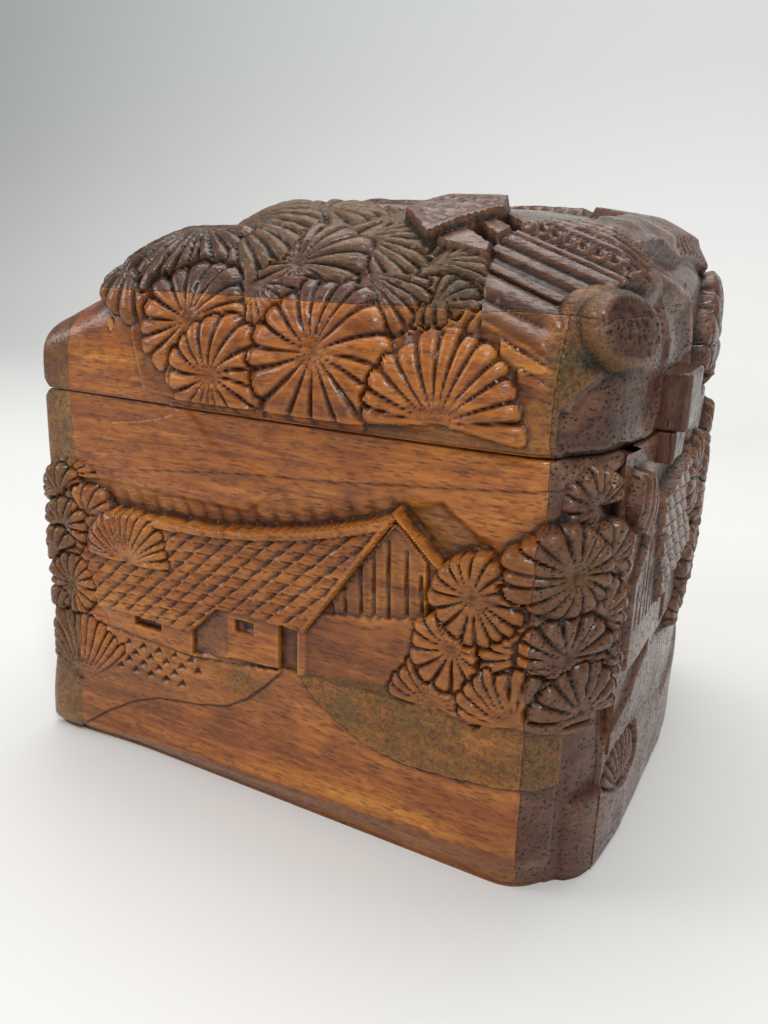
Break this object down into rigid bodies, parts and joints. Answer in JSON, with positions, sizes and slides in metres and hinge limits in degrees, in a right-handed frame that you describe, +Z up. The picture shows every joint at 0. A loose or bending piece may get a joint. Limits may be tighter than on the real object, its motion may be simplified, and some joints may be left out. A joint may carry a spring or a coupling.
{
  "type": "jewelry box",
  "caption": "Carved hardwood jewelry box with a domed lid hinged at one end, a finger pull at the other, felt lining and a lift-out divided tray.",
  "frame": {"origin": "centre of the plank footprint, on the surface that the box stands on", "axes": "+Z up; the carved cottage faces -Y; the lid is hinged at the -X end and its finger pull is at the +X end"},
  "size_m": [0.197, 0.178, 0.1831],
  "materials": {
    "mahogany": "satin varnish over orange-brown mahogany-like planks",
    "rosewood": "satin varnish over dark purple-brown end-grain wood",
    "tray_wood": "plain oiled wood",
    "brass": "slightly dulled brass",
    "felt": "wine red felt"
  },
  "bodies": {
    "case": {"base_board": "tray_wood", "front_wall": "mahogany", "back_wall": "mahogany", "left_wall": "mahogany", "right_wall": "rosewood", "keeper_block": "rosewood", "tray_runner_front": "tray_wood", "tray_runner_back": "tray_wood", "base_felt": "felt", "hinge_front_case_leaf": "brass", "hinge_front_pin": "brass", "hinge_back_case_leaf": "brass", "hinge_back_pin": "brass", "case_screw_1": "brass", "case_screw_2": "brass", "case_screw_3": "brass", "case_screw_4": "brass"},
    "lid": {"lid_front_wall": "mahogany", "lid_peg": "tray_wood", "lid_back_wall": "mahogany", "lid_left_wall": "mahogany", "lid_right_wall": "rosewood", "lid_top": "rosewood", "lid_pull": "rosewood", "lid_felt": "felt", "hinge_front_lid_leaf": "brass", "hinge_back_lid_leaf": "brass", "lid_screw_1": "brass", "lid_screw_2": "brass", "lid_screw_3": "brass", "lid_screw_4": "brass"},
    "tray": {"tray_floor": "tray_wood", "tray_front": "tray_wood", "tray_back": "tray_wood", "tray_left": "tray_wood", "tray_right": "tray_wood", "tray_long_divider": "tray_wood", "tray_cross_divider_left": "tray_wood", "tray_cross_divider_right": "tray_wood", "tray_felt": "felt"}
  },
  "joints": [
    {"name": "lid_hinge", "type": "hinge", "parent": "case", "child": "lid", "pos_m": [-0.088, 0, 0.1236], "axis": [0, -1, 0], "range_deg": [0, 96]},
    {"name": "tray_lift", "type": "slide", "parent": "case", "child": "tray", "axis": [0, 0, 1], "range_m": [0, 0.02]}
  ]
}
